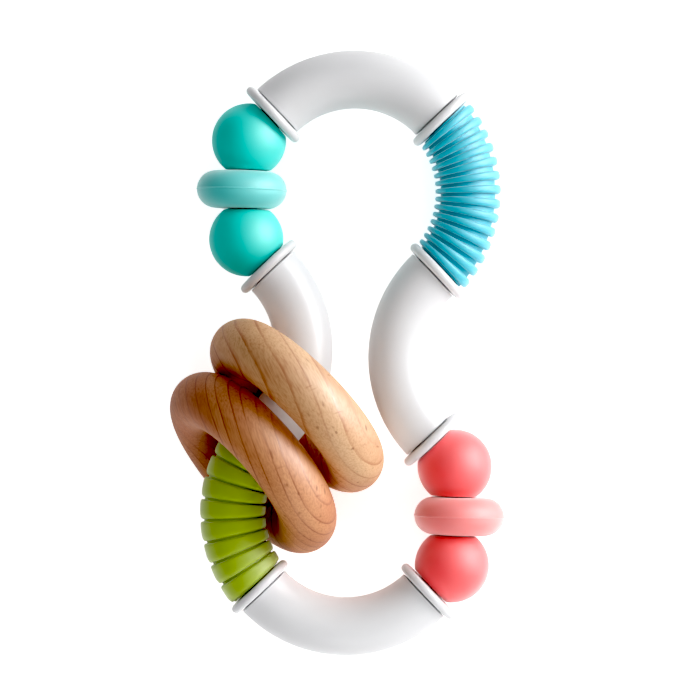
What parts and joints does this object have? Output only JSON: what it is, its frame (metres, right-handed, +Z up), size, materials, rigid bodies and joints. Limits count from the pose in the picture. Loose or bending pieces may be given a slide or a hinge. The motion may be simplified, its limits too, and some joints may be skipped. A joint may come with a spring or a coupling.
{
  "type": "silicone teether",
  "caption": "Closed figure-eight loop of white grip tubes, silicone bead strings and ribbed sleeves, with loose wooden rings threaded on it, for a baby to hold, turn and chew.",
  "frame": {"origin": "middle of the overall box, on the table that the toy lies on", "axes": "+Y along the long axis of the figure eight, towards the teal and blue end; +X towards the coral disc; +Z up from the table, on which the toy rests leaning on a wooden ring"},
  "size_m": [0.0896, 0.1602, 0.054],
  "materials": {
    "white_plastic": "satin moulded",
    "core_plastic": "plain moulded",
    "teal_silicone": "matte silicone",
    "pale_teal_silicone": "matte silicone",
    "coral_silicone": "matte silicone",
    "pale_coral_silicone": "matte silicone",
    "blue_silicone": "matte silicone",
    "green_silicone": "matte silicone",
    "beech_wood": "smooth sanded beech, unlacquered"
  },
  "bodies": {
    "loop": {"blue_core": "core_plastic", "blue_lower_plug": "white_plastic", "blue_ribbed_sleeve": "blue_silicone", "blue_upper_plug": "white_plastic", "bottom_tube_back_shell": "white_plastic", "bottom_tube_front_shell": "white_plastic", "coral_core": "core_plastic", "coral_lower_bead": "coral_silicone", "coral_lower_plug": "white_plastic", "coral_upper_bead": "coral_silicone", "coral_upper_plug": "white_plastic", "green_core": "core_plastic", "green_lower_plug": "white_plastic", "green_ribbed_sleeve": "green_silicone", "green_upper_plug": "white_plastic", "left_waist_tube_back_shell": "white_plastic", "left_waist_tube_front_shell": "white_plastic", "right_waist_tube_back_shell": "white_plastic", "right_waist_tube_front_shell": "white_plastic", "teal_core": "core_plastic", "teal_lower_bead": "teal_silicone", "teal_lower_plug": "white_plastic", "teal_upper_bead": "teal_silicone", "teal_upper_plug": "white_plastic", "top_tube_back_shell": "white_plastic", "top_tube_front_shell": "white_plastic"},
    "teal_disc_body": {"teal_disc": "pale_teal_silicone"},
    "coral_disc_body": {"coral_disc": "pale_coral_silicone"},
    "upper_ring_body": {"upper_wooden_ring": "beech_wood"},
    "lower_ring_body": {"lower_wooden_ring": "beech_wood"}
  },
  "joints": [
    {"name": "teal_disc_spin", "type": "hinge", "parent": "loop", "child": "teal_disc_body", "pos_m": [-0.02567, 0.04255, 0.02424], "axis": [-0.0051, 0.9992, -0.0388], "continuous": true},
    {"name": "coral_disc_spin", "type": "hinge", "parent": "loop", "child": "coral_disc_body", "pos_m": [0.03274, -0.04255, 0.01207], "axis": [-0.0051, 0.9992, -0.0388], "continuous": true},
    {"name": "upper_ring_spin", "type": "hinge", "parent": "loop", "child": "upper_ring_body", "pos_m": [-0.0085, -0.01409, 0.02698], "axis": [0.5847, 0.6938, -0.4204], "continuous": true},
    {"name": "lower_ring_slide", "type": "hinge", "parent": "loop", "child": "lower_ring_body", "pos_m": [0.00375, -0.04239, 0.0198], "axis": [0.2576, 0.0388, 0.9655], "range_deg": [0, 40]}
  ]
}
